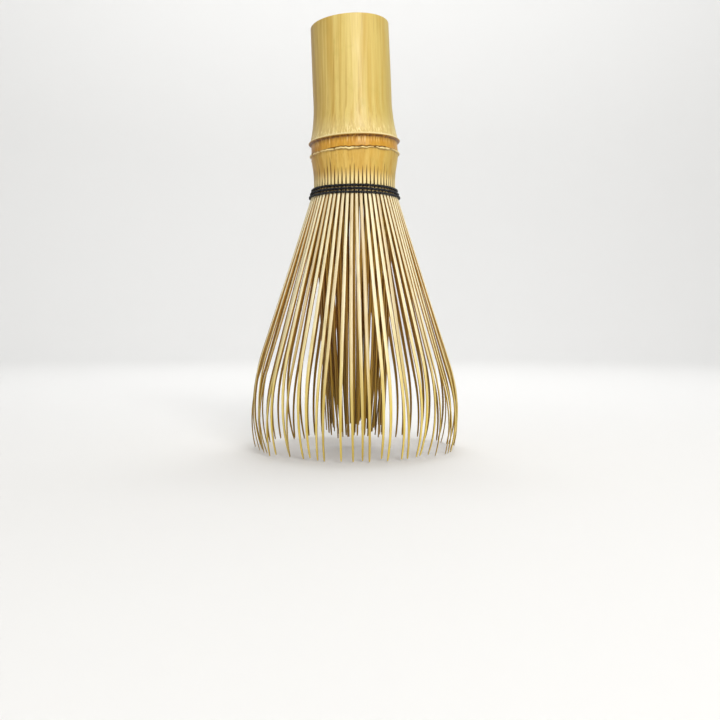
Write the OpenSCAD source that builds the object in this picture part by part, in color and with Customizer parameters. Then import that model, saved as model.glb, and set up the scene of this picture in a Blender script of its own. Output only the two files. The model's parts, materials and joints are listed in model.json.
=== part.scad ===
// Bamboo tea whisk, standing on the tips of its tines with the handle up.
// One culm makes everything but the thread. Its wall, below the node, is split into
// outer tines (the skin side) and inner tines, and a thread round their roots holds
// the two rings apart. The origin is the centre of the ring of outer tips.

/* [Handle] */
// Outer diameter of the grip
grip_d = 21.5; // [17.9:0.1:25.8]
// Thickness of the culm's wall at the grip
wall = 3; // [2.4:0.1:3.8]
// Length of the grip, from the top of the node to the middle of its cut end
grip_len = 30.5; // [22:0.5:60]
// Length over which the grip swells into the node
swell_len = 9; // [5:0.5:15]
// Angle that the internode above the node leans at
lean = 2.3; // [0:0.1:5]
// Angle between the cut end and a square cut
end_slant = 2.1; // [0:0.1:4]

/* [Node] */
// How far the two ridges stand out beyond the grip
node_rise = 1.8; // [1.4:0.1:2.5]
// How far the shoulder above the upper ridge lies inside the ridge
shoulder = 0.8; // [0.4:0.05:1]
// Height from the sheath scar to the upper ridge
ridge_gap = 3.6; // [3:0.1:5]
// Height of the rounding on each ridge
ridge_round = 0.4; // [0.2:0.05:0.6]
// Depth of the band between the two ridges
band_depth = 0.75; // [0.3:0.05:0.95]
// Thickness of the partition that closes the culm
diaphragm_t = 1.6; // [1:0.1:2.5]
// How much smaller the hollow's radius is below the partition
hollow_step = 0.4; // [0.2:0.05:0.8]

/* [Neck] */
// How far the neck, where it is thinnest, stands out beyond the grip
neck_rise = 0.4; // [0:0.05:1]
// How far the collar's foot stands out beyond the neck
foot_rise = 0.3; // [0.1:0.05:0.6]
// Height of the unsplit wall between the node and the slits
neck_h = 2.4; // [1.5:0.1:6]
// Height of the slits above the flex line
slit_h = 8; // [6:0.5:12]
// Height of the ring that joins the strips above their slits
root_ring_h = 1; // [0.6:0.1:2]

/* [Thread] */
// Diameter of the twisted thread
thread_d = 0.6; // [0.45:0.05:0.75]
// Height from one row of thread to the next
row_pitch = 0.95; // [0.8:0.05:1.2]
// Height of the lowest row above the flex line
row_start = 0.8; // [0.6:0.05:1.1]
// Diameter of the knot
knot_d = 1.7; // [1:0.1:2.5]

/* [Outer tines] */
// Drop from the flex line to the tips of the outer tines
tine_drop = 68; // [56:1:82]
// Angle that the outer tines flare at, from upright
flare = 18.6; // [14:0.2:20]
// Height above the flex line where the flare begins
flare_start = 3; // [2:0.1:4]
// Radius of the curl at the outer tips
curl_r = 50; // [36:1:64]
// Angle that the outer tips turn in by, past upright
curl_in = 12.5; // [6:0.5:18]
// Thickness of an outer tine at its root
outer_root_t = 0.6; // [0.4:0.01:0.72]
// Thickness of an outer tine at its tip
outer_tip_t = 0.25; // [0.15:0.01:0.35]
// Width of an outer tine at its middle
outer_mid_w = 0.96; // [0.7:0.01:1.15]
// Width of an outer tine at its tip
outer_tip_w = 0.55; // [0.4:0.01:0.8]

/* [Inner tines] */
// Thickness of an inner tine at its root
inner_root_t = 0.55; // [0.35:0.01:0.65]
// Thickness of an inner tine at its tip
inner_tip_t = 0.25; // [0.15:0.01:0.3]
// Width of an inner tine at its tip
inner_tip_w = 0.5; // [0.3:0.01:0.6]
// Height of the inner tips above the outer tips
inner_lift = 3; // [0:0.5:8]
// Radius of the tuft at its tips
tuft_r = 7.8; // [7:0.1:9]
// Step inwards from the tuft's outer tines to its inner tines
tuft_step = 2.2; // [1:0.1:2.4]

/* [Fits] */
// Gap between two outer strips, across their narrow inner faces
outer_slit = 0.19; // [0.1:0.01:0.3]
// Gap between two outer strips at the upper end of their slit
slit_top = 0.08; // [0.04:0.01:0.15]
// Gap between two inner strips, across their narrow inner faces
inner_slit = 0.3; // [0.15:0.01:0.45]
// Clearance between the thread and the bamboo
thread_fit = 0.02; // [0.01:0.01:0.05]
// Gap across a tine at its flex line
flex_gap = 0.06; // [0.04:0.01:0.1]
// Least gap between the ring of outer strips and the ring of inner strips
ring_gap = 0.1; // [0.05:0.01:0.3]

/* [Hidden] */
// The culm is first split into staves, and each stave into outer and inner tines
STAVES = 16;
TINES = 4;
STRIPS = STAVES * TINES;
PITCH = 360 / STRIPS;
CURL_STEPS = 6;
TUFT_STEPS = 5;
SWELL_STEPS = 5;
ROUND = 96;
// How strongly the inner tines keep straight before they turn towards the tuft
TUFT_BOW = 1.6;
// Where an inner tine's tip lies, as an angle from the middle of its stave
EDGE_TURN = 5.5;
MID_TURN = 4;
// Longer than anything that it has to cut, and a little past a face that is cut
FAR = 60;
OVER = 1;

function two(n) = str(n < 10 ? "0" : "", n);
outer_names = [for (k = [1:STAVES]) str("outer_tines_", two(k))];
inner_names = [for (k = [1:STAVES]) str("inner_tines_", two(k))];

grip_r = grip_d / 2;
bore_r = grip_r - wall;
hollow_r = bore_r - hollow_step;
neck_r = grip_r + neck_rise;
foot_r = neck_r + foot_rise;
node_r = grip_r + node_rise;
shoulder_r = node_r - shoulder;
band_r = node_r - band_depth;

// Heights from the tips up
flex_z = tine_drop;
slit_top_z = flex_z + slit_h;
collar_z = slit_top_z + root_ring_h;
collar_top_z = collar_z + neck_h;
node_z = collar_top_z + ridge_gap / 2 + 2 * ridge_round;

// Heights in the leaning internode, from the middle of the node up
ridge_h = ridge_gap / 2;
node_top_h = ridge_h + 3 * ridge_round;
cut_h = node_top_h + grip_len;

// Radii of the outer strips: a flaring face from the flex line up to the neck
face_slope = tan(flare);
root_r = neck_r + flare_start * face_slope;
strip_in_r = neck_r - outer_root_t;
function face_r(z) = neck_r + max(0, flex_z + flare_start - z) * face_slope;

// Radii of the inner strips: the thread's inner turn lies between the two rings
turn_z = flex_z + row_start + row_pitch / 2;
turn_side = thread_d / 2 + thread_fit;
turn_r = face_r(turn_z) - (outer_root_t + turn_side) / cos(flare);
inner_face_r = min(turn_r - turn_side, strip_in_r - ring_gap);
inner_back_r = inner_face_r - inner_root_t;

// Widths at the roots, from the room that the ring has for each strip
function room(r) = 2 * r * sin(PITCH / 2);
outer_root_w = room(strip_in_r) - outer_slit;
outer_top_w = room(strip_in_r) - slit_top;
inner_root_w = room(inner_back_r) - inner_slit;

// Where row n of thread lies: against the corners of the flaring strips
function row_z(n) = flex_z + row_start + n * row_pitch;
function row_r(n) = face_r(row_z(n)) / cos(PITCH / 2) + turn_side / cos(flare);

// A point on the curl of the outer tines, at angle a past upright and inset t from the skin
curl_x = root_r + (flex_z - curl_r * (sin(flare) + sin(curl_in))) * face_slope - curl_r * cos(flare);
curl_z = curl_r * sin(curl_in);
function curl_point(a, t) = [curl_x + (curl_r - t) * cos(a), curl_z + (curl_r - t) * sin(a)];
curl_angles = [for (i = [0:CURL_STEPS]) flare - (flare + curl_in) * i / CURL_STEPS];
function between(a, b, u) = a + (b - a) * u;
function outer_t(z) = between(outer_tip_t, outer_root_t, z / flex_z);

// Heights along an inner tine, u from 0 at the flex line to 1 at the tip
inner_top_z = flex_z - flex_gap;
function tuft_z(u) = between(inner_top_z, inner_lift, u);
function inner_t(u) = between(inner_root_t, inner_tip_t, u);

// Places the leaning internode, with its origin in the middle of the node
module leaning() {
    translate([0, 0, node_z])
        rotate([0, -lean, 0])
            children();
}

// The shape common to a profile seen from the side and one seen from the front
module two_way(side, front) {
    intersection() {
        rotate([90, 0, 0])
            linear_extrude(height = 8, center = true)
                polygon(side);
        rotate([90, 0, 90])
            linear_extrude(height = FAR)
                polygon(front);
    }
}

// The ring that a ring of strips grows from, a hair thicker than the strips
module strip_ring(r_out, r_in) {
    rotate_extrude($fn = ROUND)
        polygon([
            [r_in * cos(PITCH / 2), slit_top_z],
            [r_out / cos(PITCH / 2), slit_top_z],
            [r_out / cos(PITCH / 2), collar_z],
            [r_in * cos(PITCH / 2), collar_z]
        ]);
}

module handle_tube() {
    swell = [for (i = [0:SWELL_STEPS])
        let (u = i / SWELL_STEPS)
        [grip_r + (shoulder_r - grip_r) * pow(1 - u, 2), node_top_h + swell_len * u]];
    color("#dcc079")
        leaning()
            intersection() {
                rotate_extrude($fn = ROUND)
                    polygon(concat(
                        [[bore_r, node_top_h]],
                        swell,
                        [[grip_r, cut_h + grip_r], [bore_r, cut_h + grip_r]]));
                translate([0, 0, cut_h])
                    rotate([0, -end_slant, 0])
                        translate([-FAR / 2, -FAR / 2, -FAR])
                            cube(FAR);
            }
}

module node_ring() {
    color("#d6a552")
        difference() {
            leaning()
                rotate_extrude($fn = ROUND)
                    polygon([
                        [hollow_r, -ridge_h - FAR / 8],
                        [foot_r, -ridge_h - FAR / 8],
                        [foot_r, -ridge_h - 2 * ridge_round],
                        [node_r - ridge_round / 4, -ridge_h - ridge_round],
                        [node_r, -ridge_h],
                        [band_r, -ridge_h + ridge_round],
                        [band_r, ridge_h - 2 * ridge_round],
                        [node_r - ridge_round / 4, ridge_h - ridge_round],
                        [node_r, ridge_h],
                        [between(node_r, shoulder_r, 0.4), ridge_h + ridge_round],
                        [shoulder_r, node_top_h],
                        [bore_r, node_top_h],
                        [bore_r, diaphragm_t / 2],
                        [hollow_r, diaphragm_t / 2]
                    ]);
            translate([-FAR / 2, -FAR / 2, collar_top_z - FAR])
                cube(FAR);
        }
}

module node_diaphragm() {
    color("#e8d7a4")
        leaning()
            translate([0, 0, -diaphragm_t / 2])
                cylinder(r = hollow_r, h = diaphragm_t, $fn = ROUND);
}

module neck_collar() {
    color("#e2c47a")
        rotate_extrude($fn = ROUND)
            polygon([
                [hollow_r, collar_z],
                [foot_r, collar_z],
                [between(foot_r, band_r, 0.5), collar_z + neck_h * 0.7],
                [band_r, collar_top_z],
                [hollow_r, collar_top_z]
            ]);
}

// The outer strips between the flex line and the collar, with a narrowing slit between each two
module outer_roots() {
    ring_mid_z = slit_top_z + root_ring_h / 2;
    bend_z = flex_z + flare_start;
    side = [
        [root_r, flex_z],
        [neck_r, bend_z],
        [neck_r, ring_mid_z],
        [strip_in_r, ring_mid_z],
        [strip_in_r, bend_z],
        [root_r - outer_root_t / cos(flare), flex_z]
    ];
    front = [
        [-outer_root_w / 2, flex_z - OVER],
        [outer_root_w / 2, flex_z - OVER],
        [outer_root_w / 2, bend_z],
        [outer_top_w / 2, collar_z],
        [-outer_top_w / 2, collar_z],
        [-outer_root_w / 2, bend_z]
    ];
    color("#ecd592") {
        for (k = [0:STRIPS - 1])
            rotate([0, 0, (k + 0.5) * PITCH])
                two_way(side, front);
        strip_ring(neck_r, strip_in_r);
    }
}

// The inner strips over the same height, half a pitch round from the outer ones
module inner_roots() {
    ring_mid_z = slit_top_z + root_ring_h / 2;
    side = [
        [inner_face_r, flex_z],
        [inner_face_r, ring_mid_z],
        [inner_back_r, ring_mid_z],
        [inner_back_r, flex_z]
    ];
    front = [
        [-inner_root_w / 2, flex_z - OVER],
        [inner_root_w / 2, flex_z - OVER],
        [inner_root_w / 2, collar_z],
        [-inner_root_w / 2, collar_z]
    ];
    color("#d9b465") {
        for (k = [0:STRIPS - 1])
            rotate([0, 0, k * PITCH])
                two_way(side, front);
        strip_ring(inner_face_r, inner_back_r);
    }
}

// One plain ring of thread
module thread_ring(r, z) {
    color("#17181c")
        translate([0, 0, z])
            rotate_extrude($fn = ROUND)
                translate([r, 0])
                    circle(d = thread_d, $fn = 24);
}

// The knot sits on the outside of the middle row, at the back
module thread_knot() {
    color("#17181c")
        translate([0, row_r(1) + thread_d / 2 + knot_d / 2 + thread_fit, row_z(1)])
            sphere(d = knot_d, $fn = 48);
}

// One outer tine, in the plane of +X
module outer_tine() {
    top_z = flex_z - flex_gap;
    top_r = root_r + flex_gap * face_slope;
    mid_z = flex_z * 0.45;
    skin = [for (a = curl_angles) curl_point(a, 0)];
    back = [for (i = [CURL_STEPS:-1:0]) curl_point(curl_angles[i], outer_t(skin[i].y))];
    side = concat(
        [[top_r, top_z]],
        skin,
        back,
        [[top_r - outer_root_t / cos(flare), top_z]]);
    front = [
        [-outer_tip_w / 2, -OVER],
        [outer_tip_w / 2, -OVER],
        [outer_mid_w / 2, mid_z],
        [outer_root_w / 2, flex_z],
        [-outer_root_w / 2, flex_z],
        [-outer_mid_w / 2, mid_z]
    ];
    two_way(side, front);
}

// The outer tines of stave k
module outer_tines(k) {
    color("#f2dfa6")
        for (i = [0:TINES - 1])
            rotate([0, 0, (k - 1) * 360 / STAVES + (i - (TINES - 1) / 2) * PITCH])
                outer_tine();
}

// One inner tine, from the root at angle a to a tip at distance x1 and angle b, both from +X
module inner_tine(a, x1, b) {
    x0 = (inner_face_r - inner_root_t / 2) * cos(a);
    y0 = (inner_face_r - inner_root_t / 2) * sin(a);
    y1 = x1 * tan(b);
    steps = [for (i = [0:TUFT_STEPS]) i / TUFT_STEPS];
    function mid_x(u) = between(x0, x1, pow(u, TUFT_BOW));
    side = concat(
        [for (u = steps) [mid_x(u) + inner_t(u) / 2, tuft_z(u)]],
        [for (u = steps) [mid_x(1 - u) - inner_t(1 - u) / 2, tuft_z(1 - u)]]);
    front = [
        [y0 - inner_root_w / 2, inner_top_z + OVER],
        [y1 - inner_tip_w / 2, inner_lift - OVER],
        [y1 + inner_tip_w / 2, inner_lift - OVER],
        [y0 + inner_root_w / 2, inner_top_z + OVER]
    ];
    two_way(side, front);
}

// The inner tines of stave k: the outer pair of the four stays outside the inner pair
module inner_tines(k) {
    color("#c99c48")
        rotate([0, 0, (k - 1) * 360 / STAVES + PITCH / 2])
            for (s = [-1, 1]) {
                inner_tine(s * PITCH * 1.5, tuft_r, s * EDGE_TURN);
                inner_tine(s * PITCH * 0.5, tuft_r - tuft_step, s * MID_TURN);
            }
}

handle_tube();
node_ring();
node_diaphragm();
neck_collar();
outer_roots();
inner_roots();
thread_ring(row_r(0), row_z(0));  // thread_row_lower
thread_ring(row_r(1), row_z(1));  // thread_row_middle
thread_ring(row_r(2), row_z(2));  // thread_row_upper
thread_ring(turn_r, turn_z);  // thread_inner_turn
thread_knot();
for (k = [1:STAVES]) {
    outer_tines(k);
    inner_tines(k);
}
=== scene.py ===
import json
import math

import bmesh
import bpy
import numpy as np
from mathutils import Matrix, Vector


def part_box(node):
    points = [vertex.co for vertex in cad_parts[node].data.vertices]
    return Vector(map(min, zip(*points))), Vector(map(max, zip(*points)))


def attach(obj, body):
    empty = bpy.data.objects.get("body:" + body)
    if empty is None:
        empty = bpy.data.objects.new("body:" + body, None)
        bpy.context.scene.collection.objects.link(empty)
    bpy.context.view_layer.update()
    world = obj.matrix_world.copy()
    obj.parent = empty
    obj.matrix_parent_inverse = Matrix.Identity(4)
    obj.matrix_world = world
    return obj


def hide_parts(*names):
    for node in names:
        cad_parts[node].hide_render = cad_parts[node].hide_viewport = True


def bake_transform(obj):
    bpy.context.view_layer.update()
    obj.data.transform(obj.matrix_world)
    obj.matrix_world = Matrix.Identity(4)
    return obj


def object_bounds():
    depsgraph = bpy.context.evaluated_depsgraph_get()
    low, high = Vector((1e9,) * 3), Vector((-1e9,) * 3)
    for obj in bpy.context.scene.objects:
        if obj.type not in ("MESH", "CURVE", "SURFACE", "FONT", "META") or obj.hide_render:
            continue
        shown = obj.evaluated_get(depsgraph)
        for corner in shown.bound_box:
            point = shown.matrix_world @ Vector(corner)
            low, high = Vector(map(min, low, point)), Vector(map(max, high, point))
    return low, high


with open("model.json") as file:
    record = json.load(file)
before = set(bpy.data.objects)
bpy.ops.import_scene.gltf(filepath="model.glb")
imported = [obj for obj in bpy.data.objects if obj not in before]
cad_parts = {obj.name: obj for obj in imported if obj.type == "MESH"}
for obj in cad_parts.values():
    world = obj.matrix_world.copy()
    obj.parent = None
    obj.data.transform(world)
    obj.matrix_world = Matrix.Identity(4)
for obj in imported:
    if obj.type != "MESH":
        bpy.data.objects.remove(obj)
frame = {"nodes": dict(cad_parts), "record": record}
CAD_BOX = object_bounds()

# Lengths are in millimetres, and angles in radians, until a mesh is made.
MM = 0.001
TURN = 2 * math.pi
rng = np.random.default_rng(20)


# ---------------------------------------------------------------- sizes, from the frame
def box(node):
    low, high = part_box(node)
    return np.array(low) / MM, np.array(high) / MM


def mount(name):
    return next(m for m in frame["record"]["mounts"] if m["name"] == name)


def counted(prefix):
    return sorted(n for n in frame["nodes"] if n.startswith(prefix))


STAVES = len(counted("outer_tines_"))
TINES = 4
STRIPS = STAVES * TINES
PITCH = TURN / STRIPS
STAVE = TURN / STAVES

GRIP_R = mount("handle_grip")["dims"]["r_mm"]
BORE_R = mount("handle_bore")["dims"]["r_mm"]
LEAN = math.asin(-mount("handle_grip")["axis"][0])
CUT_TILT = math.asin(-mount("handle_end")["axis"][0]) - LEAN

NODE_Z = (box("node_diaphragm")[0][2] + box("node_diaphragm")[1][2]) / 2
CUT_H = (mount("handle_end")["pos_m"][2] / MM - NODE_Z) / math.cos(LEAN)
FLEX_Z, COLLAR_Z = box("outer_roots")[0][2], box("outer_roots")[1][2]
HOLLOW_R = (box("node_diaphragm")[1][1] - box("node_diaphragm")[0][1]) / 2
ROWS = ["thread_row_lower", "thread_row_middle", "thread_row_upper"]
THREAD_D = box(ROWS[0])[1][2] - box(ROWS[0])[0][2]
ROW_Z = [(box(n)[0][2] + box(n)[1][2]) / 2 for n in ROWS]
ROW_R = [box(n)[1][1] - THREAD_D / 2 for n in ROWS]
TURN_Z = (box("thread_inner_turn")[0][2] + box("thread_inner_turn")[1][2]) / 2
TURN_R = box("thread_inner_turn")[1][1] - THREAD_D / 2
SPREAD_R = CAD_BOX[1][1] / MM

# Sizes that the frame doesn't hold, as the CAD design has them
FLARE = math.radians(18.6)
FLARE_Z = FLEX_Z + 3.0
NECK_R = GRIP_R + 0.4
WAIST_Z = 73.6
RIDGE_R = GRIP_R + 1.78
SCAR_R = RIDGE_R - 0.2
RIDGE_H = 1.8
STRIP_T = 0.6
CURL_START_R, CURL_END_R, CURL_IN = 50.0, 24.0, math.radians(20)
INNER_R = TURN_R - THREAD_D / 2 - 0.03
INNER_T = 0.5
TUFT_R, TUFT_STEP = 7.8, 2.2
TIP_Z = 3.0
SPLICE_Z = ROW_Z[0]


# ---------------------------------------------------------------- small maths
def ease(low, high, x):
    """0 below low, 1 above high, and smooth between."""
    t = np.clip((np.asarray(x, float) - low) / (high - low), 0, 1)
    return t * t * (3 - 2 * t)


def unit(v):
    return v / np.maximum(np.linalg.norm(v, axis=-1, keepdims=True), 1e-12)


def waves(angle, lowest, highest, seed, fall=0.6):
    """A smooth random wave round the culm, about -1 to 1, made of whole numbers of cycles."""
    own = np.random.default_rng(seed)
    cycles = np.arange(lowest, highest + 1)
    size = own.uniform(0.3, 1, len(cycles)) * (lowest / cycles) ** fall
    shift = own.uniform(0, TURN, len(cycles))
    total = (size[:, None] * np.cos(cycles[:, None] * np.ravel(angle) + shift[:, None])).sum(0)
    return (total / np.sqrt((size**2).sum() / 2) / 2.2).reshape(np.shape(angle))


def neck_radius(z):
    """Radius of the bamboo's skin below the node: a waist, then the flare of the strips."""
    z = np.asarray(z, float)
    above = np.clip((z - WAIST_Z) / (NODE_Z - 2.2 - WAIST_Z), 0, 1.2)
    flare = (FLARE_Z - z + np.sqrt((FLARE_Z - z) ** 2 + 0.2)) / 2
    return NECK_R + 0.84 * above**1.6 + flare * math.tan(FLARE)


def leaned(h, r, angle):
    """A point of the internode above the node: h along its own leaning axis."""
    x, y = r * np.cos(angle), r * np.sin(angle)
    return np.stack([x * math.cos(LEAN) - h * math.sin(LEAN), y,
                     NODE_Z + x * math.sin(LEAN) + h * math.cos(LEAN)], -1)


# ---------------------------------------------------------------- meshes
def make_mesh(name, verts, faces, values=None, sharp=40, materials=(), which=None, merge=None):
    """A mesh object from points in millimetres. values are point attributes, by name."""
    mesh = bpy.data.meshes.new(name)
    mesh.from_pydata((np.asarray(verts) * MM).tolist(), [], [list(f) for f in faces])
    for key, value in (values or {}).items():
        kind = "FLOAT_VECTOR" if np.ndim(value) == 2 else "FLOAT"
        attribute = mesh.attributes.new(key, kind, "POINT")
        attribute.data.foreach_set("vector" if kind == "FLOAT_VECTOR" else "value",
                                   np.asarray(value, np.float32).ravel())
    for material in materials:
        mesh.materials.append(material)
    if which is not None:
        mesh.polygons.foreach_set("material_index", np.asarray(which, np.int32))
    bm = bmesh.new()
    bm.from_mesh(mesh)
    if merge:
        bmesh.ops.remove_doubles(bm, verts=bm.verts, dist=merge * MM)
    bmesh.ops.recalc_face_normals(bm, faces=bm.faces)
    bm.to_mesh(mesh)
    bm.free()
    mesh.polygons.foreach_set("use_smooth", [True] * len(mesh.polygons))
    mesh.set_sharp_from_angle(angle=math.radians(sharp))
    made = bpy.data.objects.new(name, mesh)
    bpy.context.scene.collection.objects.link(made)
    return made


def loft_faces(rows, columns, close_rows=True, close_columns=True, start=0):
    """Quads between neighbouring rows of points."""
    r = np.arange(rows if close_rows else rows - 1)
    c = np.arange(columns if close_columns else columns - 1)
    r, c = np.meshgrid(r, c, indexing="ij")
    r1, c1 = (r + 1) % rows, (c + 1) % columns
    quads = np.stack([r * columns + c, r * columns + c1, r1 * columns + c1, r1 * columns + c], -1)
    return quads.reshape(-1, 4) + start


class Builder:
    """Collects swept pieces into one mesh."""

    def __init__(self):
        self.verts, self.faces, self.values, self.count = [], [], {}, 0

    def add(self, verts, faces, values):
        self.verts.append(verts)
        self.faces += [[i + self.count for i in f] for f in faces]
        for key, value in values.items():
            self.values.setdefault(key, []).append(value)
        self.count += len(verts)

    def mesh(self, name, **options):
        values = {k: np.concatenate(v) for k, v in self.values.items()}
        return make_mesh(name, np.concatenate(self.verts), self.faces, values, **options)


def sweep(points, outward, outline, width, thick, twist):
    """Rings of the outline along the points. outline holds (across, outward) pairs."""
    along = unit(np.gradient(points, axis=0))
    out = unit(outward - (outward * along).sum(-1, keepdims=True) * along)
    side = np.cross(along, out)
    c, s = np.cos(twist)[:, None], np.sin(twist)[:, None]
    side, out = side * c + out * s, out * c - side * s
    a = outline[None, :, 0:1] * width[:, None, None]
    b = outline[None, :, 1:2] * thick[:, None, None]
    return points[:, None] + a * side[:, None] + b * out[:, None]


def culm_piece(piece, slot, *nodes):
    """A piece that stands for CAD nodes of the culm's body."""
    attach(piece, "culm")
    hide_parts(*nodes)


def tube_faces(rows, columns):
    faces = loft_faces(rows, columns, close_rows=False).tolist()
    faces.append(list(range(columns)))
    faces.append(list(range((rows - 1) * columns, rows * columns)))
    return faces


# ---------------------------------------------------------------- materials
def colour(text):
    """An sRGB hex colour as the linear values that Blender's nodes take."""
    parts = [int(text[i:i + 2], 16) / 255 for i in (1, 3, 5)]
    return [p / 12.92 if p <= 0.04045 else ((p + 0.055) / 1.055) ** 2.4 for p in parts] + [1.0]


class Nodes:
    """A material with a Principled shader, and short calls that add nodes to it."""

    def __init__(self, name, **shader):
        self.material = bpy.data.materials.new(name)
        self.material.use_nodes = True
        self.tree = self.material.node_tree
        self.bsdf = self.tree.nodes["Principled BSDF"]
        for key, value in shader.items():
            self.bsdf.inputs[key.replace("_", " ")].default_value = value

    def node(self, kind, inputs=None, **settings):
        made = self.tree.nodes.new("ShaderNode" + kind)
        for key, value in settings.items():
            setattr(made, key, value)
        for key, value in (inputs or {}).items():
            if isinstance(value, bpy.types.NodeSocket):
                self.tree.links.new(value, made.inputs[key])
            else:
                made.inputs[key].default_value = value
        return made

    def attribute(self, name, output="Vector"):
        return self.node("Attribute", attribute_name=name).outputs[output]

    def part(self, vector, axis):
        return self.node("SeparateXYZ", {0: vector}).outputs[axis]

    def noise(self, vector, scale, detail=3.0, rough=0.55, stretch=(1, 1, 1), shift=(0, 0, 0)):
        moved = self.node("Mapping", {"Vector": vector, "Scale": stretch, "Location": shift})
        return self.node("TexNoise", {"Vector": moved.outputs[0], "Scale": scale, "Detail": detail,
                                      "Roughness": rough}).outputs["Fac"]

    def curve(self, value, low, high, out_low=0.0, out_high=1.0):
        return self.node("MapRange", {"Value": value, "From Min": low, "From Max": high,
                                      "To Min": out_low, "To Max": out_high},
                         interpolation_type="SMOOTHSTEP").outputs[0]

    def math(self, operation, a, b=0.0):
        return self.node("Math", {0: a, 1: b}, operation=operation).outputs[0]

    def mix(self, factor, a, b, blend="MIX"):
        made = self.node("Mix", data_type="RGBA", blend_type=blend)
        for socket, value in ((made.inputs[0], factor), (made.inputs[6], a), (made.inputs[7], b)):
            if isinstance(value, bpy.types.NodeSocket):
                self.tree.links.new(value, socket)
            else:
                socket.default_value = value
        return made.outputs[2]

    def bump(self, height, distance, strength=1.0, normal=None):
        inputs = {"Height": height, "Distance": distance * MM, "Strength": strength}
        if normal is not None:
            inputs["Normal"] = normal
        return self.node("Bump", inputs).outputs[0]

    def set(self, **inputs):
        for key, value in inputs.items():
            self.tree.links.new(value, self.bsdf.inputs[key.replace("_", " ")])
        return self.material


def bamboo_skin(name, mid, light, brown, fresh, crease, pale):
    """The culm's outer skin: long fibres, broad bands of tone, a brown side that is painted shade and a fresh
    side, and painted shade in the creases.
    """
    n = Nodes(name, IOR=1.46, Coat_Weight=0.05, Coat_Roughness=0.3, Specular_IOR_Level=0.35)
    fibre = n.attribute("Fibre")
    broad = n.noise(fibre, 0.16, 2.0, 0.5, (1, 1, 0.05), (3.1, 7.7, 0.0))
    bands = n.noise(fibre, 0.75, 3.0, 0.55, (1, 1, 0.03), (0.0, 2.0, 5.0))
    fine = n.noise(fibre, 5.0, 3.0, 0.6, (1, 1, 0.018))
    blotch = n.noise(fibre, 0.35, 3.0, 0.55, (1, 1, 0.6), (9.0, 1.0, 4.0))
    base = n.mix(n.curve(bands, 0.3, 0.7), colour(mid), colour(light))
    base = n.mix(n.curve(broad, 0.55, 0.8, 0.0, 0.3), base, colour(brown))
    base = n.mix(n.curve(blotch, 0.5, 0.85, 0.0, 0.45), base, colour(fresh))
    base = n.mix(n.curve(fine, 0.35, 0.75, 0.0, 0.16), base, colour(brown))
    # Painted shade: the left side, towards negative x, is turned brown as if shaded from a light on the right;
    # the right side takes the fresh tint.
    side = n.math("ADD", n.part(fibre, 0), n.curve(bands, 0.2, 0.8, -1.5, 1.5))
    base = n.mix(n.curve(side, -5.0, -13.0, 0.0, 0.65), base, colour(brown))
    base = n.mix(n.curve(side, 4.0, 13.0, 0.0, 0.6), base, colour(fresh))
    streaks = n.noise(fibre, 1.7, 2.0, 0.4, (1, 1, 0.01), (1.5, 3.5, 0.0))
    base = n.mix(n.curve(streaks, 0.6, 0.7, 0.0, 0.35), base, colour(brown))
    flutes = n.noise(fibre, 3.0, 2.0, 0.5, (1, 1, 0.025), (2.0, 6.0, 0.0))
    near_node = n.attribute("Streak", "Fac")
    crests = n.math("MULTIPLY", near_node, n.curve(flutes, 0.52, 0.66, 0.0, 0.9))
    hollows = n.math("MULTIPLY", near_node, n.curve(flutes, 0.36, 0.48, 0.5, 0.0))
    base = n.mix(crests, base, colour(pale))
    base = n.mix(hollows, base, colour(brown))
    # Paleness: a painted highlight on the ridge's rim and on the skin above it; elsewhere the real cream of
    # the shaved strips and of the scar's lip.
    base = n.mix(n.attribute("Pale", "Fac"), base, colour(pale))
    # Painted shade: the crease colour is mixed in where the shade attribute is set, under the ridge, in the
    # scar's crease, along the slits, under the thread and inside the strips.
    dark = n.attribute("Dark", "Fac")
    rough = n.noise(fibre, 1.2, 3.0, 0.6, (1, 1, 0.2), (5.0, 5.0, 5.0))
    ragged = n.math("MULTIPLY", dark, n.curve(rough, 0.25, 0.55, 0.5, 1.0))
    base = n.mix(ragged, base, colour(crease))
    fibres = n.bump(fine, 0.03, 0.35)
    normal = n.bump(rough, 0.05, 0.15, fibres)
    gloss = n.curve(rough, 0.3, 0.7, 0.34, 0.48)
    return n.set(Base_Color=base, Roughness=gloss, Normal=normal)


def end_grain():
    """The sawn end of the wall: pale wood with dark fibre bundles, closer together near the skin."""
    n = Nodes("end_grain", IOR=1.45)
    place = n.attribute("Fibre")
    bundles = n.node("TexVoronoi", {"Vector": place, "Scale": 2.6, "Randomness": 0.9}).outputs["Distance"]
    small = n.node("TexVoronoi", {"Vector": place, "Scale": 5.2, "Randomness": 1.0}).outputs["Distance"]
    outer = n.curve(n.attribute("Depth", "Fac"), 0.0, 1.0)
    dots = n.mix(outer, n.curve(bundles, 0.16, 0.3, 1.0, 0.0), n.curve(small, 0.2, 0.42, 1.0, 0.0))
    grain = n.noise(place, 3.0, 4.0)
    base = n.mix(n.curve(grain, 0.3, 0.7), colour("#E2CB92"), colour("#D2B472"))
    base = n.mix(n.math("MULTIPLY", dots, 0.7), base, colour("#7D5A2C"))
    base = n.mix(n.curve(outer, 0.86, 1.0, 0.0, 0.5), base, colour("#B08A48"))
    normal = n.bump(n.math("ADD", n.math("MULTIPLY", dots, -0.8), grain), 0.05, 0.5)
    return n.set(Base_Color=base, Roughness=n.curve(grain, 0.2, 0.8, 0.6, 0.8), Normal=normal)


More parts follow.
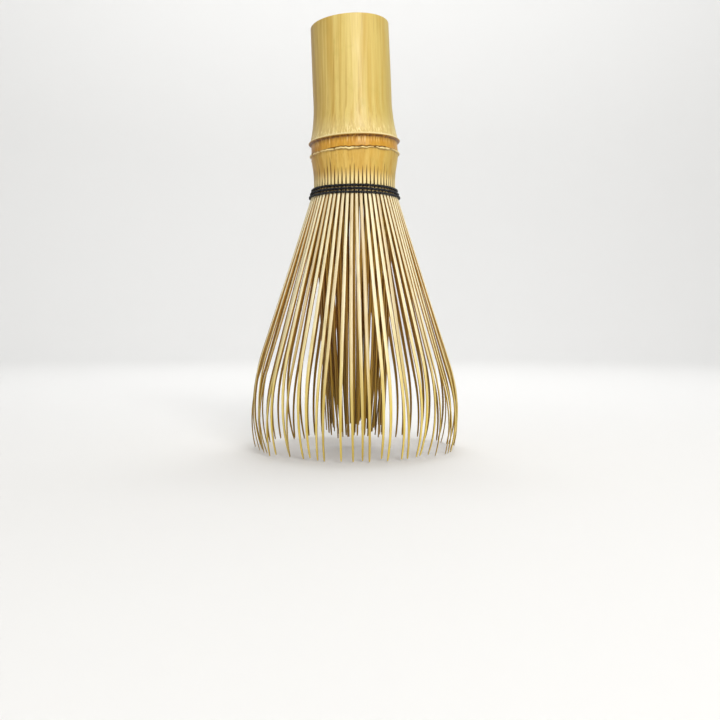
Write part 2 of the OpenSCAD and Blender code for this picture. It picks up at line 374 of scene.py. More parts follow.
def pith():
    """The wall of the hollow: pale, matt, with soft lengthwise ribs and a few stains."""
    n = Nodes("pith", IOR=1.45)
    fibre = n.attribute("Fibre")
    ribs = n.noise(fibre, 1.6, 3.0, 0.6, (1, 1, 0.05))
    stain = n.noise(fibre, 0.3, 4.0, 0.6)
    base = n.mix(n.curve(ribs, 0.3, 0.7), colour("#E6D5A8"), colour("#D6BD86"))
    base = n.mix(n.curve(stain, 0.5, 0.8, 0.0, 0.5), base, colour("#B8935A"))
    gloss = n.curve(ribs, 0.2, 0.8, 0.7, 0.85)
    return n.set(Base_Color=base, Roughness=gloss, Normal=n.bump(ribs, 0.08, 0.6))


def shaved_bamboo(name, face, face_low, side, side_low, deep):
    """A tine: glossy skin on its outer face and bare fibre on its sides, golden towards the tip."""
    n = Nodes(name, IOR=1.46, Coat_Weight=0.06, Coat_Roughness=0.3)
    fibre = n.attribute("Fibre")
    facts = n.attribute("Tine")
    tone, along, skin = n.part(facts, 0), n.part(facts, 1), n.part(facts, 2)
    fine = n.noise(fibre, 9.0, 3.0, 0.6, (1, 1, 0.02))
    bands = n.noise(fibre, 1.2, 2.0, 0.5, (1, 1, 0.12), (2.0, 0.0, 8.0))
    low = n.math("ADD", n.curve(along, 0.35, 0.95), n.curve(bands, 0.2, 0.8, -0.15, 0.15))
    front = n.mix(low, colour(face), colour(face_low))
    flank = n.mix(low, colour(side), colour(side_low))
    base = n.mix(n.curve(skin, 0.25, 0.75), flank, front)
    base = n.mix(n.curve(fine, 0.42, 0.72, 0.0, 0.4), base, colour(deep))
    base = n.mix(n.curve(tone, 0.4, 1.0, 0.0, 0.4), base, flank)
    base = n.mix(n.curve(bands, 0.6, 0.8, 0.0, 0.3), base, colour(deep))
    gloss = n.math("ADD", n.curve(skin, 0.2, 0.8, 0.58, 0.36), n.curve(fine, 0.3, 0.7, -0.04, 0.06))
    return n.set(Base_Color=base, Roughness=gloss, Normal=n.bump(fine, 0.02, 0.5))


def thread_black():
    """Tight twisted black thread, with the fine fibres of each ply."""
    n = Nodes("thread_black", IOR=1.45, Sheen_Weight=0.06, Sheen_Roughness=0.4)
    fibre = n.attribute("Fibre")
    strands = n.noise(fibre, 4.0, 3.0, 0.6, (1, 1, 0.35))
    wear = n.noise(fibre, 0.6, 2.0, 0.5, (1, 1, 1), (4.0, 4.0, 4.0))
    base = n.mix(n.curve(strands, 0.3, 0.75), colour("#08090B"), colour("#17191E"))
    base = n.mix(n.curve(wear, 0.5, 0.8, 0.0, 0.4), base, colour("#20242B"))
    gloss = n.curve(strands, 0.2, 0.8, 0.42, 0.62)
    return n.set(Base_Color=base, Roughness=gloss, Normal=n.bump(strands, 0.05, 0.7))


# crease is the colour of the painted shade in the skins.
SKIN = bamboo_skin("bamboo_skin", mid="#CFAE58", light="#DFC878", brown="#AE8438",
                   fresh="#BCA952", crease="#6B4218", pale="#F6E4A8")
NECK = bamboo_skin("neck_skin", mid="#D2A84C", light="#E0BE66", brown="#AC782C",
                   fresh="#BFA650", crease="#6B4218", pale="#FBE8A8")
BAND = bamboo_skin("node_band", mid="#D09630", light="#DCAA44", brown="#A0651C",
                   fresh="#C89430", crease="#5C3410", pale="#EBC880")
GRAIN = end_grain()
PITH = pith()
OUTER = shaved_bamboo("outer_tine", face="#FFF5CA", face_low="#E8CE64",
                      side="#AC7C24", side_low="#8E6E18", deep="#946820")
# Painted shade: the inner tines take the outer tines' colours darkened, for the shadow that the outer tines
# cast on them.
SHADED_INNER = shaved_bamboo("inner_tine", face="#C89C40", face_low="#A68018",
                      side="#98621C", side_low="#785A10", deep="#6E4812")
THREAD = thread_black()

# ---------------------------------------------------------------- the culm
COLUMNS = STRIPS * 6
AROUND = np.arange(COLUMNS) * TURN / COLUMNS
OVALITY = 0.05 * waves(AROUND, 2, 5, 4) + 0.012 * waves(AROUND, 30, 90, 5, 0.2)
FLUTES = waves(AROUND, 45, 140, 15, 0.1)


def ring_solid(name, sections, materials, bands):
    """A closed tube round the culm. sections is (rows, columns, 3). bands holds, for each row, its material
    and how much painted shade it has, how far across the cut end, how streaked and how pale it is."""
    rows = len(sections)
    points = sections.reshape(-1, 3)
    faces = loft_faces(rows, COLUMNS)
    which = np.repeat([int(b[0]) for b in bands], COLUMNS)
    values = {"Fibre": points}
    for place, key in enumerate(("Dark", "Depth", "Streak", "Pale"), 1):
        values[key] = np.concatenate([b[place] + 0 * AROUND for b in bands])
    return make_mesh(name, points, faces, values, 50, materials, which)


def grip_profile(h):
    """Radius of the internode above the node: straight, then swelling into the ridge."""
    swell = np.clip((12.8 - h) / (12.8 - RIDGE_H), 0, 1) ** 1.8
    brim = np.exp(-(h - RIDGE_H) / 0.5)
    waist = 0.04 * np.cos((h - RIDGE_H) / (CUT_H - RIDGE_H) * TURN)
    return GRIP_R - 0.05 - waist + (RIDGE_R - GRIP_R - 0.38) * swell + 0.4 * brim


def handle():
    """The grip, from the middle of the ridge's edge up to the slanted cut, with its hollow."""
    sections, bands = [], []
    wall, sawn, hollow = 0, 1, 2

    def row(h, r, tilt, material, dark=0.0, depth=0.0, ripple=1.0, streak=0.0, pale=0.0, flute=0.0):
        radius = r + ripple * OVALITY + flute * FLUTES
        tilted = h + tilt * radius * np.cos(AROUND) * math.tan(CUT_TILT)
        sections.append(leaned(tilted, radius, AROUND))
        bands.append((material, dark, depth, streak, pale))

    # Painted shade under the ridge's crest, and a painted highlight on its rim.
    row(RIDGE_H, RIDGE_R - 0.05, 0.0, wall, 0.35, flute=0.03)
    row(RIDGE_H + 0.05, RIDGE_R + 0.01, 0.0, wall, pale=0.7, flute=0.03)
    for h in np.concatenate([np.linspace(RIDGE_H + 0.15, 3.0, 12), np.linspace(3.3, 13, 26),
                             np.linspace(14, CUT_H - 1, 22)]):
        over = h - RIDGE_H
        # Painted highlight: the skin just above the ridge, where it flares out towards the light, is made
        # paler.
        row(h, grip_profile(h), ease(20, CUT_H, h), wall, streak=ease(4.6, 0.3, over),
            pale=0.6 * ease(0.8, 0.1, over) + 0.3 * ease(7, 1, over), flute=0.02 * ease(5.0, 0.5, over))
    r, edge = grip_profile(CUT_H), 0.22
    for drop, inset in ((0.3, 0.0), (0.14, 0.03), (0.05, 0.1), (0.0, edge)):
        row(CUT_H - drop, r - inset, 1.0, wall if drop else sawn, depth=1.0)
    for share in np.linspace(0.9, 0.1, 9):
        row(CUT_H, BORE_R + (r - edge - BORE_R) * share, 1.0, sawn, depth=share)
    for drop, inset in ((0.0, 0.16), (0.06, 0.05), (0.2, 0.0)):
        row(CUT_H - drop, BORE_R + inset, 1.0, hollow, ripple=0.4)
    for h in np.linspace(CUT_H - 1.5, RIDGE_H, 22):
        row(h, BORE_R + 0.02, ease(20, CUT_H, h), hollow, ripple=0.4)
    return ring_solid("handle_culm", np.array(sections), [SKIN, GRAIN, PITH], bands)


# The scar's wander in height, and how its lip stands out, breaks off, wrinkles, lifts open and swells
SCAR_WAVE = 0.13 * waves(AROUND, 2, 9, 11) + 0.10 * waves(AROUND, 12, 60, 12, 0.3)
LIP = 0.5 * waves(AROUND, 5, 70, 13, 0.25)
NOTCH = ease(0.25, 0.75, waves(AROUND, 6, 48, 16, 0.2))
CREASE = waves(AROUND, 20, 150, 14, 0.1)
OPEN = ease(-0.9, 0.3, waves(AROUND, 2, 11, 18, 0.3))
FULL = waves(AROUND, 3, 16, 17, 0.3)


def node_band():
    """The band between the upper ridge and the ragged scar of the sheath, above the neck."""
    sections, bands = [], []

    def row(h, below, dark, scar=0.0, crease=0.0, ripple=1.0, streak=0.0):
        radius = RIDGE_R - below + ripple * OVALITY + crease * CREASE
        sections.append(leaned(h + scar * SCAR_WAVE, radius, AROUND))
        # Painted shade, made uneven round the culm, and lighter on the scar where its lip lies closed.
        uneven_shade = 0.3 * dark * CREASE * (scar < 0.5)
        bands.append((0, np.clip(dark + uneven_shade - scar * dark * (1 - OPEN), 0, 1), 0.0, streak, 0.0))

    bore = RIDGE_R - BORE_R - 0.02
    row(RIDGE_H - 0.02, bore, 0, ripple=0.4)
    row(RIDGE_H - 0.02, 2.0, 0)
    # Painted shadow under the ridge's overhang.
    row(RIDGE_H - 0.02, 0.4, 0.5)
    row(RIDGE_H - 0.03, 0.08, 0.6, crease=0.01)
    row(RIDGE_H - 0.1, 0.08, 0.35, crease=0.02)
    row(RIDGE_H - 0.19, 0.22, 0.7, crease=0.04)
    row(RIDGE_H - 0.3, 0.45, 1.0, crease=0.05)
    row(RIDGE_H - 0.45, 0.62, 0.9, crease=0.04, streak=0.5)
    row(RIDGE_H - 0.66, 0.71, 0.55, crease=0.03, streak=1.0)
    # Painted shade from the ridge, fading out down the band.
    for h in np.linspace(RIDGE_H - 0.9, -0.95, 12):
        row(h, 0.74 - 0.06 * ease(0.2, -0.9, h), 0.28 * ease(0.3, 0.9, h), ease(0.6, -0.9, h), 0.01,
            streak=ease(-0.6, 0.8, h))
    # Painted shade in the crease where the band runs under the scar's lip.
    row(-1.1, 0.6, 0.3, 1.0, 0.02)
    row(-1.22, 0.52, 0.6, 1.0, 0.03)
    row(-1.32, 0.56, 0.95, 1.0, 0.04)
    row(-1.4, 0.75, 1.0, 1.0, 0.03)
    row(-1.5, 1.0, 1.0, 1.0)
    row(-1.56, 1.3, 1.0, 1.0)
    row(-1.56, bore, 0.0, ripple=0.4)
    for h in np.linspace(-0.9, 1.2, 5):
        row(h, bore, 0.0, ripple=0.4)
    return ring_solid("node_band", np.array(sections), [BAND], bands)


def partition():
    """The closed wall inside the node, slightly domed, with a woody rim."""
    cells = 24
    r = np.concatenate([np.linspace(0.02, 1, cells), np.linspace(1, 0.02, cells)]) * (BORE_R + 0.1)
    bulge = 0.5 * (1 - (r / BORE_R) ** 2)
    wrinkle = 0.06 * np.sin(r * 3.1)
    top = np.arange(2 * cells) < cells
    h = np.where(top, 0.55 - bulge + wrinkle, -0.55 - bulge + wrinkle)
    points = np.concatenate([leaned(h[i], np.full(COLUMNS, r[i]), AROUND) for i in range(len(r))])
    return make_mesh("node_partition", points, loft_faces(len(r), COLUMNS), {"Fibre": points}, 60, [PITH])


def slit_tops():
    """Where each slit between two outer strips starts: mostly near the same height, some higher."""
    tops = COLLAR_Z - 2.1 + 0.55 * rng.standard_normal(STRIPS)
    longer = rng.random(STRIPS) < 0.22
    tops[longer] += rng.uniform(0.9, 2.2, longer.sum())
    return np.clip(tops, FLARE_Z + 2.0, COLLAR_Z + 0.8)


SLIT_TOPS = slit_tops()
SLIT_W = rng.uniform(0.3, 0.42, STRIPS)


def slit_width(k, z):
    """Width of slit k at height z: nothing above its top, and widest at the thread."""
    depth = np.clip((SLIT_TOPS[k] - z) / (SLIT_TOPS[k] - FLARE_Z - 0.6), 0, 1)
    return SLIT_W[k] * depth**0.8


# Rows of the scar's lip: drop and inset from its top outer edge, painted shade (in the crevice behind the lip
# and the shadow line under it), paleness and raggedness
LIP_H = -1.4
LIP_ROWS = ((0.2, 1.1, 1.0, 0.0, 0.0), (0.12, 0.8, 0.9, 0.0, 0.2), (0.0, 0.35, 0.6, 0.3, 0.7),
            (0.03, 0.08, 0.1, 1.0, 1.0), (0.14, 0.0, 0.0, 1.0, 1.0), (0.28, 0.02, 0.0, 0.9, 1.0),
            (0.4, 0.13, 0.15, 0.5, 0.7), (0.5, 0.36, 0.75, 0.0, 0.3), (0.64, 0.45, 0.3, 0.0, 0.1),
            (0.88, 0.5, 0.05, 0.0, 0.0))


def lip_row(columns, angle, drop, inset, dark, pale, ragged):
    """One strip's share of a row of the lip: its points, and how much painted shade and how pale they are."""
    # Painted shade, deeper in the notches and where the lip lifts open.
    dark = (dark + 0.6 * ragged * NOTCH[columns]) * (0.4 + 0.6 * OPEN[columns])
    pale = pale * (0.8 - 0.5 * NOTCH[columns] + 0.3 * LIP[columns] + 0.15 * FULL[columns])
    bulge = ragged * (0.16 * LIP[columns] + 0.05 * CREASE[columns] - 0.15 * NOTCH[columns])
    lift = ragged * (0.1 * LIP[columns] - 0.05 - 0.06 * NOTCH[columns])
    height = LIP_H - drop * (1 + 0.35 * FULL[columns]) + SCAR_WAVE[columns] + lift
    return leaned(height, SCAR_R - inset + OVALITY[columns] + bulge, angle), dark, pale


def strip_row(k, columns, angle, z, left, right, inner):
    """Strip k's share of a row at height z, on its inner or its outer face, between two slits."""
    radius = float(neck_radius(z))
    across = np.linspace(-1, 1, len(columns))
    settle = ease(NODE_Z - 3.6, NODE_Z - 2.6, z)
    height = z + settle * (radius * math.sin(LEAN) * np.cos(angle) + 0.8 * SCAR_WAVE[columns])
    if inner:
        # Painted shade on the strips' inner face, seen through the slits.
        r, dark, pale = np.full(len(columns), radius - STRIP_T), 0.85, 0.0
    else:
        r = radius + OVALITY[columns] - 0.07 * min(1.0, left / 0.2) * across**2
        tops = np.where(across < 0, SLIT_TOPS[k], SLIT_TOPS[(k + 1) % STRIPS])
        closed = 0.9 * np.clip(1 - (z - tops) / 0.9, 0, 1)
        # Painted shade along the open slits and fading out above each slit's top, and on the strips at and
        # below the upper thread row.
        seam_shade = (abs(across) > 0.9) * np.where(np.where(across < 0, left, right) > 0, 0.75, closed)
        dark = np.maximum(seam_shade, 0.65 * ease(ROW_Z[2] + 0.5, ROW_Z[2] - 0.1, z))
        pale = 0.85 * ease(COLLAR_Z - 1.8, FLEX_Z + 3.5, z)
    return np.stack([r * np.cos(angle), r * np.sin(angle), height], -1), dark, pale


def neck():
    """The wall under the scar, and the outer strips that it splits into, down to the lowest thread."""
    per = COLUMNS // STRIPS
    fine_top, fine_end = COLLAR_Z + 0.78, 72.4
    heights = np.concatenate([np.linspace(NODE_Z - 2.9, COLLAR_Z + 0.9, 10),
                              np.arange(fine_top, fine_end, -0.12),
                              np.linspace(fine_end - 0.2, SPLICE_Z, 12)])
    inner_heights = heights[heights < COLLAR_Z - 0.1][::-1]
    loop = [("lip", row) for row in LIP_ROWS] + [("outer", z) for z in heights]
    first_inner = len(loop)
    loop += [("inner", z) for z in inner_heights]
    loop += [("bore", z) for z in (COLLAR_Z, NODE_Z - 3.0, NODE_Z - 1.56)]
    points, dark, pale = [], [], []
    slit_open = np.zeros((len(loop), STRIPS), bool)
    for i, (kind, value) in enumerate(loop):
        split = kind in ("outer", "inner")
        for k in range(STRIPS):
            left, right = [slit_width(n % STRIPS, value) if split else 0.0 for n in (k, k + 1)]
            slit_open[i, k] = left > 0
            radius = float(neck_radius(value)) if split else HOLLOW_R
            angle = np.linspace(k * PITCH + left / 2 / radius, (k + 1) * PITCH - right / 2 / radius, per + 1)
            columns = (np.arange(per + 1) + k * per) % COLUMNS
            if kind == "lip":
                made = lip_row(columns, angle, *value)
            elif kind == "bore":
                ring = np.stack([radius * np.cos(angle), radius * np.sin(angle), value + 0 * angle], -1)
                # Painted shade inside the hollow.
                made = ring, 0.3, 0.0
            else:
                made = strip_row(k, columns, angle, value, left, right, kind == "inner")
            points.append(made[0])
            dark.append(made[1] + 0 * angle)
            pale.append(made[2] + 0 * angle)
    index = np.arange(len(loop) * STRIPS * (per + 1)).reshape(len(loop), STRIPS, per + 1)
    after = np.roll(index, -1, 0)
    faces = np.stack([index[..., :-1], index[..., 1:], after[..., 1:], after[..., :-1]], -1)
    faces = faces.reshape(-1, 4).tolist()
    for step in range(len(inner_heights) - 1):
        outside, inside = first_inner - 1 - step, first_inner + step
        for k in np.flatnonzero(slit_open[outside]):
            for strip, j in ((k, 0), ((k - 1) % STRIPS, per)):
                faces.append([index[outside - 1, strip, j], index[outside, strip, j],
                              index[inside, strip, j], index[inside + 1, strip, j]])
    points = np.concatenate(points)
    values = {"Fibre": points, "Dark": np.concatenate(dark), "Pale": np.concatenate(pale),
              "Streak": np.zeros(len(points))}
    return make_mesh("neck_and_strips", points, faces, values, 50, [NECK], merge=0.0005)


# ---------------------------------------------------------------- tines
TINE_OUTLINE = np.array([(-0.5, -0.16), (-0.42, -0.03), (0.0, 0.03), (0.42, -0.03), (0.5, -0.16),
                         (0.47, -0.9), (0.38, -1.0), (-0.38, -1.0), (-0.47, -0.9)])
TINE_SKIN = np.array([0.15, 1, 1, 1, 0.15, 0, 0, 0, 0])


def add_tine(build, points, outward, width, thick, twist, number, tone):
    rings = sweep(points, outward, TINE_OUTLINE, width, thick, twist)
    count, sides = rings.shape[:2]
    length = np.concatenate([[0], np.cumsum(np.linalg.norm(np.diff(points, axis=0), axis=1))])
    fibre = np.zeros((count, sides, 3))
    fibre[..., 0] = TINE_OUTLINE[:, 0] * width[:, None] + number * 3.7
    fibre[..., 1] = TINE_OUTLINE[:, 1] * thick[:, None] + number * 1.3
    fibre[..., 2] = length[:, None] + number * 17.0
    facts = np.zeros((count, sides, 3))
    facts[..., 0] = tone
    facts[..., 1] = (length / length[-1])[:, None]
    facts[..., 2] = TINE_SKIN
    build.add(rings.reshape(-1, 3), tube_faces(count, sides),
              {"Fibre": fibre.reshape(-1, 3), "Tine": facts.reshape(-1, 3)})


def tip_shifts():
    """Sideways moves of a stave's four outer tips, which bunch in twos and threes inside the stave."""
    even = np.arange(TINES) * PITCH * (SPREAD_R - 2.8)
    least, past = 0.98, 0.12
    places = even + np.array([rng.uniform(-0.1, 1.15), rng.uniform(-1.1, 1.1),
                              rng.uniform(-1.1, 1.1), rng.uniform(-1.15, 0.1)])
    for _ in range(40):
        for i in range(TINES - 1):
            lack = max(0.0, least - (places[i + 1] - places[i]))
            places[i] -= lack / 2
            places[i + 1] += lack / 2
        places[0] = max(places[0], -past)
        places[-1] = min(places[-1], even[-1] + past)
    return places - even


def outer_path(shift, z_tip):
    """An outer tine's skin line: distance from the axis, sideways shift, height, and share of its drop."""
    flare = FLARE - abs(rng.normal(0, math.radians(0.35)))
    tip_angle = CURL_IN * rng.uniform(0.6, 1.25)
    size = rng.uniform(0.86, 1.06)
    r0 = float(neck_radius(SPLICE_Z))
    for _ in range(6):
        angle = np.linspace(flare, -tip_angle, 30)
        middle = (angle[1:] + angle[:-1]) / 2
        radii = [CURL_END_R, 0.8 * CURL_START_R, CURL_START_R]
        bend = size * np.interp(middle, [-tip_angle, 0, flare], radii)
        step = bend * (angle[:-1] - angle[1:])
        gain, drop = np.cumsum(step * np.sin(middle)), np.cumsum(step * np.cos(middle))
        straight = (SPLICE_Z - z_tip - drop[-1]) / math.cos(flare)
        widest = r0 + straight * math.sin(flare) + gain.max()
        flare -= max(0.0, widest - SPREAD_R + 0.12) / straight
    s = np.linspace(0, straight, 34)
    r = np.concatenate([r0 + s * math.sin(flare), r0 + straight * math.sin(flare) + gain])
    z = np.concatenate([SPLICE_Z - s * math.cos(flare), SPLICE_Z - straight * math.cos(flare) - drop])
    near = z > FLARE_Z - 4
    miss = r[near][-1] - neck_radius(z[near][-1])
    r[near] = neck_radius(z[near]) + miss * ease(SPLICE_Z, FLARE_Z - 4, z[near])
    u = (SPLICE_Z - z) / (SPLICE_Z - z_tip)
    wander = 0.12 * np.sin(u * rng.uniform(4, 8) + rng.uniform(0, TURN)) * ease(0.1, 0.5, u) * (1 - 0.5 * u)
    return r, shift * ease(0.1, 1.0, u) ** 1.1 + wander, z, u


def stave_piece(build, kind, stave, material):
    """A stave's tines as one piece, from just below the thread, in place of the stave's CAD part."""
    piece = build.mesh(f"{kind}_tine_strips_{stave:02d}", sharp=55, materials=[material])
    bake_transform(piece)
    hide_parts(f"{kind}_tines_{stave:02d}")


def outer_tines(stave):
    """The stave's four outer tines, each with its own place, curl, width, twist and length."""
    build = Builder()
    shifts = tip_shifts()
    for i in range(TINES):
        azimuth = (stave - 1) * STAVE + (i - (TINES - 1) / 2) * PITCH
        out = np.array([math.cos(azimuth), math.sin(azimuth), 0])
        across = np.array([-math.sin(azimuth), math.cos(azimuth), 0])
        r, y, z, u = outer_path(shifts[i], rng.uniform(0.02, 0.7))
        points = r[:, None] * out + y[:, None] * across + z[:, None] * np.array([0, 0, 1.0])
        widths = np.array([0.76, 0.82, 0.96, 0.82, 0.62, 0.5, 0.32]) * rng.uniform(0.94, 1.05)
        width = np.interp(u, [0, 0.12, 0.45, 0.7, 0.88, 0.985, 1], widths)
        thick = np.interp(u, [0, 0.1, 0.6, 0.985, 1], [0.58, 0.55, 0.38, 0.24, 0.16])
        twist = np.clip(rng.normal(0, 0.16), -0.34, 0.34) * ease(0.15, 1.0, u)
        add_tine(build, points, np.broadcast_to(out, points.shape), width, thick, twist,
                 (stave - 1) * TINES + i, rng.random())
    stave_piece(build, "outer", stave, OUTER)


def inner_tines(stave):
    """The stave's four inner tines, in the stave's own plane, turned half a pitch from the outer ones."""
    build = Builder()
    turned = (stave - 1) * STAVE + PITCH / 2
    out = np.array([math.cos(turned), math.sin(turned), 0])
    across = np.array([-math.sin(turned), math.cos(turned), 0])
    middle = INNER_R - INNER_T / 2
    for i in range(TINES):
        root = (i - (TINES - 1) / 2) * PITCH
        edge = i in (0, TINES - 1)
        x1 = (TUFT_R if edge else TUFT_R - TUFT_STEP) + rng.uniform(-0.5, 0.3)
        y1 = math.copysign(x1 * math.tan(math.radians(5.5 if edge else 4.0)), root) + rng.uniform(-0.08, 0.08)
        z1 = TIP_Z + rng.uniform(0.2, 5.0)
        u = np.linspace(0, 1, 46)
        wander = 0.1 * np.sin(u * rng.uniform(3, 7) + rng.uniform(0, TURN)) * ease(0.1, 0.4, u) * (1 - 0.6 * u)
        x = middle * math.cos(root) + (x1 - middle * math.cos(root)) * u**1.6
        y = middle * math.sin(root) + (y1 - middle * math.sin(root)) * u + wander
        z = TURN_Z + (z1 - TURN_Z) * u
        points = x[:, None] * out + y[:, None] * across + z[:, None] * np.array([0, 0, 1.0])
        widths = np.array([0.64, 0.62, 0.46, 0.3]) * rng.uniform(0.92, 1.04)
        width = np.interp(u, [0, 0.5, 0.985, 1], widths)
        thick = np.interp(u, [0, 0.6, 1], [0.5, 0.36, 0.22])
        twist = np.clip(rng.normal(0, 0.25), -0.5, 0.5) * ease(0.1, 1.0, u)
        skin = points + (thick / 2)[:, None] * out
        add_tine(build, skin, np.broadcast_to(out, points.shape), width, thick, twist,
                 STRIPS + (stave - 1) * TINES + i, rng.random())
    stave_piece(build, "inner", stave, SHADED_INNER)


def inner_strip_roots():
    """The inner strips above the thread's inner turn, up to the foot of the wall."""
    build = Builder()
    for k in range(STRIPS):
        angle = k * PITCH
        out = np.array([math.cos(angle), math.sin(angle), 0])
        z = np.linspace(COLLAR_Z + 0.2, TURN_Z, 14)
        points = (INNER_R + 0 * z)[:, None] * out + z[:, None] * np.array([0, 0, 1.0])
        width = np.interp(z, [TURN_Z, COLLAR_Z - 2, COLLAR_Z], [0.64, 0.72, 0.9]) * rng.uniform(0.95, 1.03)
        add_tine(build, points, np.broadcast_to(out, points.shape), width, INNER_T + 0 * z, 0 * z,
                 2 * STRIPS + k, rng.random())
    return build.mesh("inner_strip_roots", sharp=55, materials=[SHADED_INNER])


# ---------------------------------------------------------------- thread
PLY_SIDES = 8


def add_ply(build, centre, outward, radius, number, closed=True):
    """One ply of thread along a line of points, closed into a ring or with two flat ends."""
    if closed:
        along = unit(np.roll(centre, -1, 0) - np.roll(centre, 1, 0))
    else:
        along = unit(np.gradient(centre, axis=0))
    out = unit(outward - (outward * along).sum(-1, keepdims=True) * along)
    side = np.cross(along, out)
    turn = np.arange(PLY_SIDES) * TURN / PLY_SIDES
    ring = np.cos(turn)[None, :, None] * out[:, None] + np.sin(turn)[None, :, None] * side[:, None]
    thick = np.broadcast_to(radius, len(centre))
    points = centre[:, None] + ring * thick[:, None, None]
    length = np.concatenate([[0], np.cumsum(np.linalg.norm(np.diff(centre, axis=0), axis=1))])
    fibre = np.zeros(points.shape)
    fibre[..., 0] = np.cos(turn)[None, :] + number * 5.0
    fibre[..., 1] = np.sin(turn)[None, :]
    fibre[..., 2] = length[:, None]
    if closed:
        faces = loft_faces(len(centre), PLY_SIDES).tolist()
    else:
        faces = tube_faces(len(centre), PLY_SIDES)
    build.add(points.reshape(-1, 3), faces, {"Fibre": fibre.reshape(-1, 3)})


def thread_ring(name, node, radius, height, dip, seed):
    """A row of two-ply thread that bows over each outer strip and dips between two strips."""
    own = np.random.default_rng(seed)
    steps = STRIPS * 16
    angle = np.arange(steps) * TURN / steps
    off = (angle / PITCH + 0.5) % 1 - 0.5
    sag = dip * np.exp(-((off * PITCH * radius / 0.24) ** 2))
    r = radius - sag + 0.015 * waves(angle, 3, 40, seed)
    z = height + 0.05 * waves(angle, 2, 12, seed + 1) + 0.03 * waves(angle, 50, 70, seed + 2)
    twist = angle * (STRIPS + own.integers(-12, -6)) + own.uniform(0, TURN)
    ply_r = THREAD_D * 0.3328
    reach = THREAD_D * 0.26
    build = Builder()
    for ply in (0, 1):
        phase = twist + ply * math.pi
        rr, zz = r + reach * np.cos(phase), z + reach * np.sin(phase)
        centre = np.stack([rr * np.cos(angle), rr * np.sin(angle), zz], -1)
        outward = np.stack([np.cos(angle) * np.cos(phase), np.sin(angle) * np.cos(phase), np.sin(phase)], -1)
        add_ply(build, centre, outward, ply_r, seed + ply)
    culm_piece(build.mesh(name, sharp=180, materials=[THREAD]), "thread", node)


def knot():
    """A tight overhand knot against the middle row, at the back, with two cut ends."""
    low, high = box("thread_knot")
    centre, size = (low + high) / 2, (high - low)[2] / 2
    t = np.arange(120) * TURN / 120
    s = size * 0.24
    loop = np.stack([s * (np.sin(t) + 2 * np.sin(2 * t)) * 1.05, -s * 1.1 * np.sin(3 * t),
                     s * (np.cos(t) - 2 * np.cos(2 * t))], -1) + centre
    build = Builder()
    r = THREAD_D * 0.36
    back = np.array([0.0, 1.0, 0.0])
    add_ply(build, loop, np.broadcast_to(back, loop.shape), r, 40)
    for way in (-1, 1):
        u = np.linspace(0, 1, 18)
        tail = centre + np.stack([way * (0.3 + 1.5 * u), 0.15 - 0.55 * u**2, -0.35 - 0.9 * u**1.5], -1)
        frayed = r * (1 + 0.25 * u**3)
        add_ply(build, tail, np.broadcast_to(back, tail.shape), frayed, 41 + way, closed=False)
    culm_piece(build.mesh("thread_knot_tied", sharp=60, materials=[THREAD]), "thread", "thread_knot")


# ---------------------------------------------------------------- stage, light and camera
def stage():
    """A round pale floor that curves up into a pale wall, so that it is plain from every side."""
    flat_r, bend_r, wall_h, sides = 700, 300, 1200, 96
    bend = np.linspace(0, math.pi / 2, 13)
    run = np.append(flat_r + bend_r * np.sin(bend), flat_r + bend_r)
    rise = np.append(bend_r * (1 - np.cos(bend)), wall_h)
    turn = np.arange(sides) * TURN / sides
    points = np.stack([run[:, None] * np.cos(turn), run[:, None] * np.sin(turn),
                       np.broadcast_to(rise[:, None], (len(run), sides))], -1).reshape(-1, 3)
    faces = loft_faces(len(run), sides, close_rows=False).tolist() + [list(range(sides))]
    n = Nodes("studio_paper", Roughness=0.85, Specular_IOR_Level=0.2)
    n.bsdf.inputs["Base Color"].default_value = (0.78, 0.78, 0.775, 1)
    make_mesh("studio_floor", points, faces, materials=[n.material])


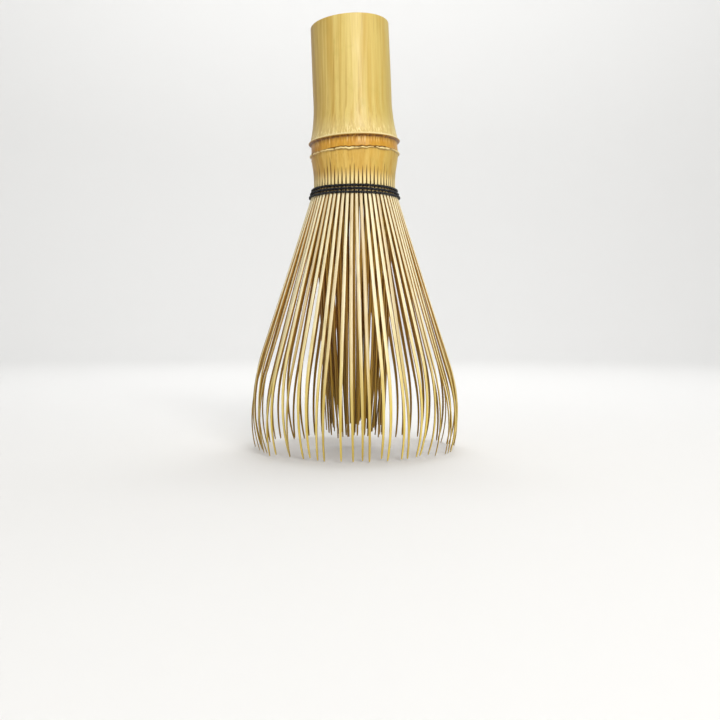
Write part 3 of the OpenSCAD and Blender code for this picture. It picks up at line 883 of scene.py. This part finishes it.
def light(name, place, size, power, tint=(1, 1, 1), aim=(0, 0, 60)):
    """A round soft light at place, turned to aim, with its size in millimetres and its power in watts."""
    data = bpy.data.lights.new(name, "AREA")
    data.shape, data.size, data.energy, data.color = "DISK", size * MM, power, tint
    made = bpy.data.objects.new(name, data)
    made.location = Vector(place) * MM
    made.rotation_euler = (Vector(aim) - Vector(place)).to_track_quat("-Z", "Y").to_euler()
    bpy.context.scene.collection.objects.link(made)


def lights():
    world = bpy.data.worlds.new("studio")
    world.use_nodes = True
    world.node_tree.nodes["Background"].inputs["Color"].default_value = (1.0, 0.99, 0.97, 1)
    world.node_tree.nodes["Background"].inputs["Strength"].default_value = 0.27
    bpy.context.scene.world = world
    light("key", (150, -450, 330), 240, 2.0, (1, 0.98, 0.95))
    light("fill", (-480, -300, 160), 420, 0.15, (0.96, 0.98, 1))
    light("top", (60, 180, 520), 420, 1.0)
    light("backdrop", (0, 350, 800), 600, 4.6, aim=(0, 960, 250))


def camera():
    data = bpy.data.cameras.new("camera")
    data.lens, data.sensor_width = 43.5, 36
    data.clip_start, data.clip_end = 0.01, 10
    made = bpy.data.objects.new("camera", data)
    place, aim = Vector((1.5, -240.5, 32.8)), Vector((1.5, 0, 24.4))
    made.location = place * MM
    made.rotation_euler = (aim - place).to_track_quat("-Z", "Y").to_euler()
    bpy.context.scene.collection.objects.link(made)
    bpy.context.scene.camera = made


bpy.context.scene.view_settings.view_transform = "Standard"
camera()
lights()
stage()
culm_piece(handle(), "culm_skin", "handle_tube")
culm_piece(node_band(), "node_skin", "node_ring")
culm_piece(partition(), "culm_inside", "node_diaphragm")
culm_piece(neck(), "culm_skin", "neck_collar", "outer_roots")
culm_piece(inner_strip_roots(), "inner_tine", "inner_roots")
for number, row in enumerate(ROWS):
    thread_ring(row + "_twisted", row, ROW_R[number], ROW_Z[number], 0.2, 50 + 10 * number)
thread_ring("thread_inner_turn_twisted", "thread_inner_turn", TURN_R, TURN_Z, 0.0, 90)
knot()
for stave in range(1, STAVES + 1):
    outer_tines(stave)
    inner_tines(stave)
